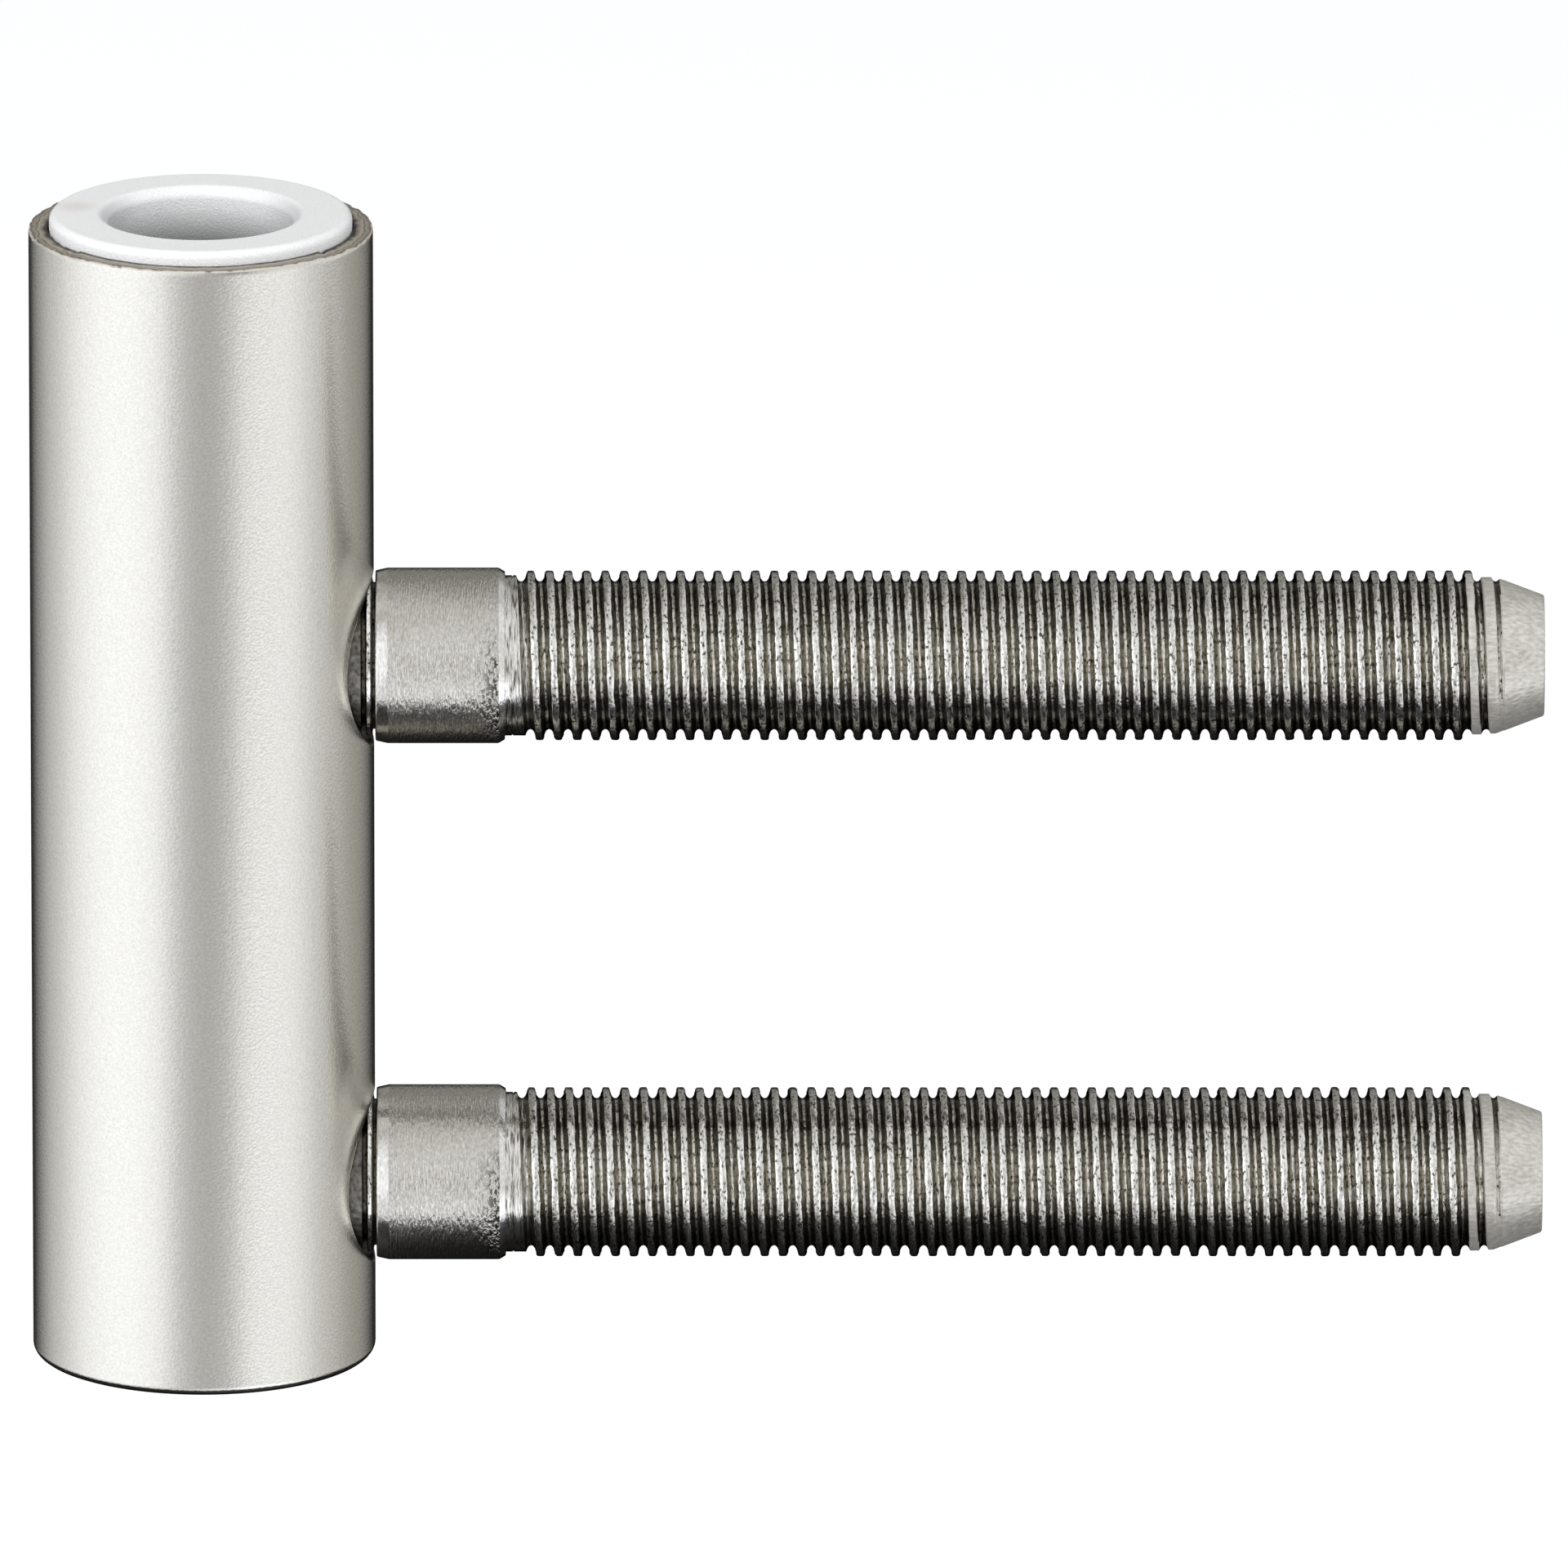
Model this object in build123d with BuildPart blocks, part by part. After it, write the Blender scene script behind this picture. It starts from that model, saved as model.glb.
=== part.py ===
from build123d import *
import os

# One half of a drill-in hinge, in millimetres. A turned steel barrel carries a plastic bearing
# bush in its open upper end and two threaded steel shanks in its side.
# The origin is the centre of the barrel's open end. +Z is the axis that the hinge turns about,
# and +X is the way that the shanks point.

# Barrel
barrel_diameter = 18.0
rim_wall = 1.0
rim_edge_chamfer = 0.25
foot_edge_radius = 0.5
foot_length = 9.65
bore_web = 1.95

# Bearing bush
pin_bore_diameter = 9.7
pin_entry_width = 0.6
pin_entry_depth = 0.65
sleeve_wall = 1.6
sleeve_lead = 0.4
sleeve_end_gap = 0.5
flange_seat_depth = 2.1
flange_proud = 0.7
flange_edge_radius = 0.4

# Places of the two shanks on the barrel
upper_shank_drop = 23.35
shank_spacing = 28.2
collar_gap = 0.05

# Shank, from its end in the barrel to its tip
spigot_diameter = 8.4
spigot_length = 11.9
spigot_end_chamfer = 0.5
spigot_end_gap = 0.5
undercut_width = 0.2
undercut_depth = 0.35
collar_diameter = 9.2
collar_length = 6.8
collar_lead_length = 0.6
collar_lead_depth = 0.2
collar_end_chamfer = 0.2
neck_diameter = 8.4
neck_length = 0.65
thread_diameter = 8.85
thread_length = 51.25
thread_start_chamfer = 0.2
thread_end_chamfer = 0.5
tip_root_diameter = 7.75
tip_end_diameter = 6.35
tip_length = 2.5

# Cross holes in the barrel
mouth_relief = 0.2
mouth_depth = 2.1
mouth_edge_chamfer = 0.2
drill_point_length = 2.0

# Clearances
flange_clearance = 0.08
sleeve_clearance = 0.02
spigot_clearance = 0.02

# Sizes that follow from those above
barrel_radius = barrel_diameter / 2
flange_bore_radius = barrel_radius - rim_wall
flange_radius = flange_bore_radius - flange_clearance
pin_bore_radius = pin_bore_diameter / 2
pin_entry_radius = pin_bore_radius + pin_entry_width
sleeve_radius = pin_bore_radius + sleeve_wall
sleeve_bore_radius = sleeve_radius + sleeve_clearance
spigot_radius = spigot_diameter / 2
cross_hole_radius = spigot_radius + spigot_clearance
mouth_radius = spigot_radius + mouth_relief

lower_shank_drop = upper_shank_drop + shank_spacing
barrel_length = lower_shank_drop + foot_length
sleeve_bore_depth = upper_shank_drop - mouth_radius - bore_web
sleeve_depth = sleeve_bore_depth - sleeve_end_gap

collar_start = barrel_radius + collar_gap
undercut_start = collar_start - undercut_width
spigot_start = collar_start - spigot_length
collar_end = collar_start + collar_length
thread_start = collar_end + neck_length
thread_end = thread_start + thread_length
tip_end = thread_end + tip_length
cross_hole_depth = barrel_radius - spigot_start + spigot_end_gap


def shank_plane(drop):
    """Lengthwise section plane of a shank: its x runs along the shank, its y away from the axis."""
    return Plane(origin=(0, 0, -drop), x_dir=(1, 0, 0), z_dir=(0, -1, 0))


# Barrel: a turned bar with a stepped bore for the bush. Below the bore it is solid, apart from
# the two blind cross holes that hold the shanks.
with BuildPart() as barrel:
    with BuildSketch(Plane.XZ):
        with BuildLine():
            Polyline(
                (0, -barrel_length),
                (barrel_radius, -barrel_length),
                (barrel_radius, 0),
                (flange_bore_radius, 0),
                (flange_bore_radius, -flange_seat_depth),
                (sleeve_bore_radius, -flange_seat_depth),
                (sleeve_bore_radius, -sleeve_bore_depth),
                (0, -sleeve_bore_depth),
                close=True,
            )
        make_face()
    revolve(axis=Axis.Z)
    end_circles = barrel.edges().filter_by(GeomType.CIRCLE)
    fillet(end_circles.sort_by(Axis.Z)[0], foot_edge_radius)
    rim_circles = barrel.edges().filter_by(GeomType.CIRCLE).group_by(Axis.Z)[-1]
    chamfer(rim_circles.sort_by(SortBy.RADIUS)[-1], rim_edge_chamfer)
    for drop in (upper_shank_drop, lower_shank_drop):
        with Locations(Plane(origin=(barrel_radius, 0, -drop), z_dir=(1, 0, 0))):
            CounterBoreHole(
                radius=cross_hole_radius,
                counter_bore_radius=mouth_radius,
                counter_bore_depth=mouth_depth,
                depth=cross_hole_depth,
            )
        with Locations(Plane(origin=(barrel_radius - cross_hole_depth, 0, -drop), z_dir=(-1, 0, 0))):
            Cone(
                bottom_radius=cross_hole_radius,
                top_radius=0,
                height=drill_point_length,
                align=(Align.CENTER, Align.CENTER, Align.MIN),
                mode=Mode.SUBTRACT,
            )
    mouth_edges = barrel.edges().filter_by(GeomType.BSPLINE)
    chamfer(mouth_edges, mouth_edge_chamfer)

# Bearing bush: a moulded flanged sleeve, pressed in until the flange sits on the step of the
# bore. Its flange stands a little above the rim and carries the other half of the hinge.
with BuildPart() as bearing_bush:
    with BuildSketch(Plane.XZ):
        with BuildLine():
            EllipticalCenterArc(
                (pin_entry_radius, flange_proud - pin_entry_depth),
                pin_entry_width,
                pin_entry_depth,
                start_angle=90,
                arc_size=90,
            )
            Polyline(
                (pin_bore_radius, flange_proud - pin_entry_depth),
                (pin_bore_radius, -sleeve_depth),
                (sleeve_radius - sleeve_lead, -sleeve_depth),
                (sleeve_radius, -sleeve_depth + sleeve_lead),
                (sleeve_radius, -flange_seat_depth),
                (flange_radius, -flange_seat_depth),
                (flange_radius, flange_proud - flange_edge_radius),
            )
            CenterArc(
                (flange_radius - flange_edge_radius, flange_proud - flange_edge_radius),
                flange_edge_radius,
                start_angle=0,
                arc_size=90,
            )
            Line((flange_radius - flange_edge_radius, flange_proud), (pin_entry_radius, flange_proud))
        make_face()
    revolve(axis=Axis.Z)

barrel.part.label = "barrel"
bearing_bush.part.label = "bearing_bush"
os.makedirs("parts", exist_ok=True)
export_step(barrel.part, "parts/barrel.step")
export_step(bearing_bush.part, "parts/bearing_bush.step")

# Shanks: two turned pins with a spigot that is fixed in the barrel, a plain collar and a
# thread-rolled length. The thread is a plain cylinder over its crests here.
for shank_name, drop in (("upper_shank", upper_shank_drop), ("lower_shank", lower_shank_drop)):
    with BuildPart() as shank:
        with BuildSketch(shank_plane(drop)):
            with BuildLine():
                Polyline(
                    (spigot_start, 0),
                    (spigot_start, spigot_radius - spigot_end_chamfer),
                    (spigot_start + spigot_end_chamfer, spigot_radius),
                    (undercut_start, spigot_radius),
                    (undercut_start, spigot_radius - undercut_depth),
                    (collar_start, spigot_radius - undercut_depth),
                    (collar_start, collar_diameter / 2 - collar_lead_depth),
                    (collar_start + collar_lead_length, collar_diameter / 2),
                    (collar_end - collar_end_chamfer, collar_diameter / 2),
                    (collar_end, collar_diameter / 2 - collar_end_chamfer),
                    (collar_end, neck_diameter / 2),
                    (thread_start, neck_diameter / 2),
                    (thread_start + thread_start_chamfer, thread_diameter / 2),
                    (thread_end - thread_end_chamfer, thread_diameter / 2),
                    (thread_end, tip_root_diameter / 2),
                    (tip_end, tip_end_diameter / 2),
                    (tip_end, 0),
                    close=True,
                )
            make_face()
        revolve(axis=Axis((0, 0, -drop), (1, 0, 0)))
    shank.part.label = shank_name
    export_step(shank.part, "parts/" + shank_name + ".step")
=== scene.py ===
import bpy
import math
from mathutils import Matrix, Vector


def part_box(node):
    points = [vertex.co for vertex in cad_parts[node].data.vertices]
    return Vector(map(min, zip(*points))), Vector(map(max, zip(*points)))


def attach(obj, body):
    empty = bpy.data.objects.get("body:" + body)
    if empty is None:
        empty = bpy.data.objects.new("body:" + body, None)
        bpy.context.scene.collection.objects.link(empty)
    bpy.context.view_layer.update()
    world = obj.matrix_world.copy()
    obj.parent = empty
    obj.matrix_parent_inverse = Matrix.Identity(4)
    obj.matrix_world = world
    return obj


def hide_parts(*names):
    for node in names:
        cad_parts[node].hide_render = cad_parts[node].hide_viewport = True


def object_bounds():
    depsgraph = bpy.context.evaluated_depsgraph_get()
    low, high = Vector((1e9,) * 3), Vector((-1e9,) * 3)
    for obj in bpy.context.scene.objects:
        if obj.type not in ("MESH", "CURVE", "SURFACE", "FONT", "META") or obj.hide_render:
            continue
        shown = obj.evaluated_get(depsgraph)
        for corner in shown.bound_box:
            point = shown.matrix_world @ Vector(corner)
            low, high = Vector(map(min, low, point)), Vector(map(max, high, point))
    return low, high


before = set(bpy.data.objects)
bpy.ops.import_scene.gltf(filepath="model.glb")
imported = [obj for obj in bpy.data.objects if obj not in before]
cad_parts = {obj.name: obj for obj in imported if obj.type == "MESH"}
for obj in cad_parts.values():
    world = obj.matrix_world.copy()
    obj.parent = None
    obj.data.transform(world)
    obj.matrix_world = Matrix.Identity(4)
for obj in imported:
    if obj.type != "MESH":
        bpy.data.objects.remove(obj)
cad_box = [list(corner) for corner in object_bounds()]


# Barrel: a turned steel cylinder, nickel plated and tumbled to a satin finish. Its foot is rounded,
# its rim is left raw by the parting tool, and its top is bored in two steps for the bearing bush.
# The two cross holes that hold the shanks have mouths that the tumbling has rounded.

mm = 0.001
same_place = 0.01 * mm
just_past = 1.01
across = Vector((1.0, 0.0, 0.0))
upward = Vector((0.0, 0.0, 1.0))

barrel_low, barrel_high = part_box("barrel")
barrel_radius = barrel_high.x
barrel_points = 192
foot_round = 0.5 * mm
round_steps = 6
side_step = 1.0 * mm
side_skin = 0.002 * mm
smooth_angle = 40.0

rim_round = 0.12 * mm
rim_round_steps = 3
rim_wall = 1.0 * mm
rim_rings = 5
rim_land = 0.22 * mm
worn_land = rim_land * 0.9
rim_chip_depth = 0.04 * mm
rim_chip_size = 1.3 * mm
rim_nick_depth = 0.28 * mm
rim_nick_size = 0.45 * mm
nicks_beyond = 6.3 * mm
rim_raggedness = 0.22

seat_depth = 2.1 * mm
seat_ring = seat_depth * 0.1
sleeve_bore_radius = 6.47 * mm
sleeve_bore_depth = 17.0 * mm

mouth_radius = 4.4 * mm
mouth_round = 0.36 * mm
mouth_outer_radius = mouth_radius + mouth_round
mouth_depth = 2.1 * mm
cross_hole_radius = 4.22 * mm
cross_hole_bottom = -3.35 * mm
patch_half_angle = math.radians(45.0)
patch_half_height = 7.0 * mm
patch_rings = 7
patch_skin = 0.6 * mm
patch_slack = 0.001
shank_heights = [sum(corner.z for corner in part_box(name)) / 2 for name in ("upper_shank", "lower_shank")]


def turn_on_lathe(name, axis, centre, outline, points):
    """Turns a shell by extruding a circle through the outline's stations, and leaves it in edit mode.

    A station is a distance along the axis from the centre, and a radius."""
    place, radius = outline[0]
    bpy.ops.object.select_all(action="DESELECT")
    bpy.ops.mesh.primitive_circle_add(
        vertices=points,
        radius=radius,
        location=centre + axis * place,
        rotation=axis.to_track_quat("Z", "Y").to_euler(),
    )
    piece = bpy.context.object
    piece.name = name
    bpy.ops.object.transform_apply(location=True, rotation=True, scale=True)
    bpy.ops.object.mode_set(mode="EDIT")
    bpy.ops.mesh.select_all(action="SELECT")
    for next_place, next_radius in outline[1:]:
        bpy.ops.mesh.extrude_edges_move(TRANSFORM_OT_translate={"value": axis * (next_place - place)})
        if next_radius != radius:
            bpy.ops.transform.resize(
                value=(next_radius / radius,) * 3, center_override=centre + axis * next_place
            )
        place, radius = next_place, next_radius
    return piece


def select_points(piece, wanted):
    """Selects the vertices whose place passes the test, with the edges and faces between them."""
    bpy.ops.object.mode_set(mode="OBJECT")
    piece.data.polygons.foreach_set("select", [False] * len(piece.data.polygons))
    piece.data.edges.foreach_set("select", [False] * len(piece.data.edges))
    piece.data.vertices.foreach_set("select", [wanted(v.co) for v in piece.data.vertices])
    bpy.ops.object.mode_set(mode="EDIT")
    bpy.ops.mesh.select_mode(type="VERT")


def quarter_round(radius, steps):
    """Run and rise of a quarter circle that leaves a face squarely, for each step after the first."""
    angles = [math.pi / 2 * step / steps for step in range(1, steps + 1)]
    return [(radius * math.sin(angle), radius * (1 - math.cos(angle))) for angle in angles]


def smooth_shell(piece, angle):
    """Turns the faces outward, smooths them up to an angle in degrees and leaves edit mode."""
    bpy.ops.object.mode_set(mode="EDIT")
    bpy.ops.mesh.select_all(action="SELECT")
    bpy.ops.mesh.normals_make_consistent(inside=False)
    bpy.ops.object.mode_set(mode="OBJECT")
    bpy.ops.object.shade_smooth_by_angle(angle=math.radians(angle))


barrel_outline = [(barrel_low.z, barrel_radius - foot_round)]
for run, rise in quarter_round(foot_round, round_steps):
    barrel_outline.append((barrel_low.z + rise, barrel_radius - foot_round + run))
side_bottom = barrel_low.z + foot_round
side_top = -rim_round - rim_land
side_rings = round((side_top - side_bottom) / side_step)
for ring in range(1, side_rings + 1):
    barrel_outline.append((side_bottom + (side_top - side_bottom) * ring / side_rings, barrel_radius))
barrel_outline.append((-rim_round, barrel_radius))
for run, rise in quarter_round(rim_round, rim_round_steps):
    barrel_outline.append((run - rim_round, barrel_radius - rise))
for ring in range(1, rim_rings + 1):
    barrel_outline.append((0.0, barrel_radius - rim_round - (rim_wall - rim_round) * ring / rim_rings))
barrel_outline += [
    (-seat_ring, barrel_radius - rim_wall),
    (-seat_depth, barrel_radius - rim_wall),
    (-seat_depth, sleeve_bore_radius),
    (-sleeve_bore_depth, sleeve_bore_radius),
]
barrel = turn_on_lathe("barrel_body", upward, Vector(), barrel_outline, barrel_points)
bpy.ops.mesh.edge_face_add()
select_points(barrel, lambda at: abs(at.z - barrel_low.z) < same_place)
bpy.ops.mesh.edge_face_add()


def side_patch(height):
    """A test for points on the barrel's side in the patch round a cross hole."""
    def inside(at):
        radius = math.hypot(at.x, at.y)
        turned = abs(math.atan2(at.y, at.x))
        return (
            radius > barrel_radius - patch_skin
            and turned < patch_half_angle + patch_slack
            and abs(at.z - height) < patch_half_height
        )
    return inside


def cut_cross_hole(height):
    """Opens a patch of the side, bridges it to the round mouth and sinks the rounded, stepped hole."""
    in_patch = side_patch(height)
    centre = Vector((0.0, 0.0, height))
    select_points(barrel, in_patch)
    bpy.ops.mesh.delete(type="FACE")
    bpy.ops.mesh.select_non_manifold(extend=False)
    bpy.ops.object.mode_set(mode="OBJECT")
    border = sum(vertex.select for vertex in barrel.data.vertices)
    bpy.ops.object.mode_set(mode="EDIT")
    bpy.ops.mesh.select_all(action="DESELECT")
    bpy.ops.mesh.primitive_circle_add(
        vertices=border,
        radius=mouth_outer_radius,
        location=centre + across * barrel_radius,
        rotation=(0.0, math.pi / 2, 0.0),
    )
    bpy.ops.object.mode_set(mode="OBJECT")
    for vertex in barrel.data.vertices:
        if vertex.select:
            vertex.co.x = math.sqrt(barrel_radius**2 - vertex.co.y**2)
    bpy.ops.object.mode_set(mode="EDIT")
    bpy.ops.mesh.select_non_manifold(extend=False)
    bpy.ops.mesh.bridge_edge_loops(number_cuts=patch_rings, interpolation="LINEAR")
    bpy.ops.object.mode_set(mode="OBJECT")
    for vertex in barrel.data.vertices:
        if in_patch(vertex.co):
            stretch = barrel_radius / math.hypot(vertex.co.x, vertex.co.y)
            vertex.co.x *= stretch
            vertex.co.y *= stretch
    bpy.ops.object.mode_set(mode="EDIT")
    bpy.ops.mesh.select_non_manifold(extend=False)
    radius, depth = mouth_outer_radius, 0.0
    wall = [(mouth_outer_radius - run, rise) for run, rise in quarter_round(mouth_round, round_steps)]
    wall += [(mouth_radius, mouth_depth), (cross_hole_radius, mouth_depth)]
    for next_radius, next_depth in wall:
        bpy.ops.mesh.extrude_edges_move(TRANSFORM_OT_translate={"value": across * (depth - next_depth)})
        shrink = next_radius / radius
        bpy.ops.transform.resize(value=(1.0, shrink, shrink), center_override=centre)
        radius, depth = next_radius, next_depth
    bpy.ops.mesh.extrude_edges_move(TRANSFORM_OT_translate={"value": across * -mouth_depth})
    bpy.ops.transform.resize(value=(0.0, 1.0, 1.0), center_override=centre + across * cross_hole_bottom)
    bpy.ops.mesh.edge_face_add()


for height in shank_heights:
    cut_cross_hole(height)
smooth_shell(barrel, smooth_angle)


def wear(piece, group, wanted, size, depth, middle, direction="NORMAL"):
    """Roughens part of a piece: a fixed clouds pattern moves its points along one direction."""
    chosen = piece.vertex_groups.new(name=group)
    chosen.add([vertex.index for vertex in piece.data.vertices if wanted(vertex.co)], 1.0, "REPLACE")
    clouds = bpy.data.textures.new(group, "CLOUDS")
    clouds.noise_scale = size
    clouds.noise_depth = 3
    bpy.ops.object.modifier_add(type="DISPLACE")
    displace = piece.modifiers[-1]
    displace.texture = clouds
    displace.texture_coords = "LOCAL"
    displace.vertex_group = group
    displace.strength = depth
    displace.mid_level = middle
    displace.direction = direction
    bpy.ops.object.modifier_apply(modifier=displace.name)
    piece.vertex_groups.clear()


def on_raw_rim(at):
    """Whether a point is on the raw-cut rim, or on the land just below its outer edge."""
    high_up = at.z > -rim_round - worn_land
    return high_up and math.hypot(at.x, at.y) > barrel_radius - rim_wall * just_past


def on_nicked_rim(at):
    """Whether a point is on one of the rim's two nicked stretches, at the left and the right."""
    return on_raw_rim(at) and abs(at.x) > nicks_beyond


raw_faces = {
    face.index for face in barrel.data.polygons if face.center.z > -rim_round and on_raw_rim(face.center)
}
wear(barrel, "rim chips", on_raw_rim, size=rim_chip_size, depth=rim_chip_depth, middle=0.9)
wear(barrel, "rim nicks", on_nicked_rim, rim_nick_size, rim_nick_depth, middle=0.8, direction="Z")

# The side is shaded as a true cylinder, so that the patches round the mouths don't show in it.
normals = [corner.vector.copy() for corner in barrel.data.corner_normals]
for corner in barrel.data.loops:
    at = barrel.data.vertices[corner.vertex_index].co
    if math.hypot(at.x, at.y) > barrel_radius - side_skin:
        normals[corner.index] = Vector((at.x, at.y, 0.0)).normalized()
barrel.data.normals_split_custom_set(normals)

across_rim = barrel.data.attributes.new("across rim", "FLOAT", "POINT")
for vertex in barrel.data.vertices:
    inward = barrel_radius - math.hypot(vertex.co.x, vertex.co.y)
    across_rim.data[vertex.index].value = min(max(inward / rim_wall, 0.0), 1.0)


def surface_grain_group():
    """Noise on the piece's own coordinates: one tone, for a colour or for the height of a bump."""
    group = bpy.data.node_groups.new("surface grain", "ShaderNodeTree")
    group.interface.new_socket("Per metre", in_out="INPUT", socket_type="NodeSocketVector")
    group.interface.new_socket("Detail", in_out="INPUT", socket_type="NodeSocketFloat")
    group.interface.new_socket("Contrast", in_out="INPUT", socket_type="NodeSocketFloat")
    group.interface.new_socket("Tone", in_out="OUTPUT", socket_type="NodeSocketFloat")
    nodes, links = group.nodes, group.links
    given = nodes.new("NodeGroupInput")
    result = nodes.new("NodeGroupOutput")
    place = nodes.new("ShaderNodeTexCoord")
    stretch = nodes.new("ShaderNodeVectorMath")
    stretch.operation = "MULTIPLY"
    links.new(place.outputs["Object"], stretch.inputs[0])
    links.new(given.outputs["Per metre"], stretch.inputs[1])
    noise = nodes.new("ShaderNodeTexNoise")
    noise.inputs["Scale"].default_value = 1.0
    links.new(stretch.outputs[0], noise.inputs["Vector"])
    links.new(given.outputs["Detail"], noise.inputs["Detail"])
    centred = nodes.new("ShaderNodeMath")
    centred.operation = "SUBTRACT"
    centred.inputs[1].default_value = 0.5
    links.new(noise.outputs["Fac"], centred.inputs[0])
    contrast = nodes.new("ShaderNodeMath")
    contrast.operation = "MULTIPLY"
    links.new(centred.outputs[0], contrast.inputs[0])
    links.new(given.outputs["Contrast"], contrast.inputs[1])
    tone = nodes.new("ShaderNodeMath")
    tone.operation = "ADD"
    tone.inputs[1].default_value = 0.5
    tone.use_clamp = True
    links.new(contrast.outputs[0], tone.inputs[0])
    links.new(tone.outputs[0], result.inputs["Tone"])
    return group


surface_grain = surface_grain_group()


def add_grain(material, size, detail, contrast):
    """Places the grain group in a material, with its grain's size along X, Y and Z."""
    grain = material.node_tree.nodes.new("ShaderNodeGroup")
    grain.node_tree = surface_grain
    grain.inputs["Per metre"].default_value = [1.0 / length for length in size]
    grain.inputs["Detail"].default_value = detail
    grain.inputs["Contrast"].default_value = contrast
    return grain.outputs["Tone"]


def marked_share(material, mark):
    """The share, between 0 and 1, that a piece's points carry under a name."""
    attribute = material.node_tree.nodes.new("ShaderNodeAttribute")
    attribute.attribute_name = mark
    return attribute.outputs["Fac"]


def make_ragged(material, share, tone, raggedness):
    """Adds some of a tone to a share, so that the borders drawn by the share aren't even."""
    ragged = material.node_tree.nodes.new("ShaderNodeMath")
    ragged.operation = "MULTIPLY_ADD"
    ragged.inputs[1].default_value = raggedness
    material.node_tree.links.new(tone, ragged.inputs[0])
    material.node_tree.links.new(share, ragged.inputs[2])
    return ragged.outputs[0]


def add_colour(material, tone, stops):
    """Colours the material by a tone, through stops that are each a position and a colour."""
    ramp = material.node_tree.nodes.new("ShaderNodeValToRGB")
    elements = ramp.color_ramp.elements
    for number, (position, colour) in enumerate(stops):
        stop = elements[number] if number < 2 else elements.new(position)
        stop.position = position
        stop.color = (*colour, 1.0)
    links = material.node_tree.links
    links.new(tone, ramp.inputs["Fac"])
    links.new(ramp.outputs["Color"], material.node_tree.nodes["Principled BSDF"].inputs["Base Color"])
    return ramp.outputs["Color"]


def feed(tree, socket, value):
    """Gives a socket another node's output or a plain value."""
    if isinstance(value, bpy.types.NodeSocket):
        tree.links.new(value, socket)
    else:
        socket.default_value = value


def add_bump(material, tone, distance, strength, below=None):
    """Raises the surface by a tone, on top of an earlier bump's normal, and returns the new one."""
    links = material.node_tree.links
    bump = material.node_tree.nodes.new("ShaderNodeBump")
    bump.inputs["Distance"].default_value = distance
    feed(material.node_tree, bump.inputs["Strength"], strength)
    links.new(tone, bump.inputs["Height"])
    if below:
        links.new(below, bump.inputs["Normal"])
    links.new(bump.outputs["Normal"], material.node_tree.nodes["Principled BSDF"].inputs["Normal"])
    return bump.outputs["Normal"]


def plain_material(name, roughness, metallic=1.0):
    """A material without grain or colour yet, metal unless it says otherwise."""
    material = bpy.data.materials.new(name)
    material.use_nodes = True
    shader = material.node_tree.nodes["Principled BSDF"]
    shader.inputs["Metallic"].default_value = metallic
    shader.inputs["Roughness"].default_value = roughness
    return material


satin_nickel = plain_material("satin nickel", roughness=0.21)
satin_grain = add_grain(satin_nickel, (0.13 * mm,) * 3, detail=1.0, contrast=2.0)
add_colour(satin_nickel, satin_grain, ((0.0, (0.640, 0.617, 0.560)), (1.0, (0.770, 0.745, 0.680))))
add_bump(satin_nickel, satin_grain, distance=0.007 * mm, strength=0.6)

raw_steel_edge_light_shade = plain_material("parted steel, painted edge light and shade", roughness=0.50, metallic=0.6)
raw_grain = add_grain(raw_steel_edge_light_shade, (0.7 * mm, 0.7 * mm, 0.3 * mm), detail=3.0, contrast=2.0)
raw_pits = add_grain(raw_steel_edge_light_shade, (0.45 * mm,) * 3, detail=3.0, contrast=2.0)
# The bands across the rim are the parting cut's own tones, but the light band at its outer edge is a
# painted highlight, and the near-black at its inner edge is painted shade beside the bush.
add_colour(
    raw_steel_edge_light_shade,
    make_ragged(raw_steel_edge_light_shade, marked_share(raw_steel_edge_light_shade, "across rim"), raw_grain, rim_raggedness),
    (
        (0.17, (0.72, 0.68, 0.60)),
        (0.24, (0.20, 0.175, 0.145)),
        (0.34, (0.37, 0.325, 0.265)),
        (0.46, (0.48, 0.43, 0.355)),
        (0.55, (0.22, 0.19, 0.15)),
        (0.62, (0.56, 0.51, 0.43)),
        (0.80, (0.41, 0.365, 0.30)),
        (0.99, (0.06, 0.055, 0.045)),
    ),
)
add_bump(raw_steel_edge_light_shade, raw_pits, distance=0.05 * mm, strength=0.8)

# Painted shade: the cross holes' rounded mouths, and the spigot inside them, are coloured dark for the
# shade in the gap round the shank.
mouth_shade = plain_material("painted mouth shade", roughness=0.42)
mouth_shade_grain = add_grain(mouth_shade, (0.35 * mm,) * 3, detail=3.0, contrast=2.5)
add_colour(mouth_shade, mouth_shade_grain, ((0.0, (0.08, 0.077, 0.066)), (1.0, (0.33, 0.316, 0.277))))
add_bump(mouth_shade, mouth_shade_grain, distance=0.03 * mm, strength=0.6)

barrel_materials = (satin_nickel, raw_steel_edge_light_shade, mouth_shade)
for material in barrel_materials:
    barrel.data.materials.append(material)
mouth_reach = mouth_radius + mouth_round * just_past
mouth_floor = barrel_radius - mouth_depth - mouth_round
for face in barrel.data.polygons:
    at = face.center
    if face.index in raw_faces:
        face.material_index = barrel_materials.index(raw_steel_edge_light_shade)
    for height in shank_heights:
        if math.hypot(at.y, at.z - height) < mouth_reach and at.x > mouth_floor:
            face.material_index = barrel_materials.index(mouth_shade)
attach(barrel, "root")
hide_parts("barrel")


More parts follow.
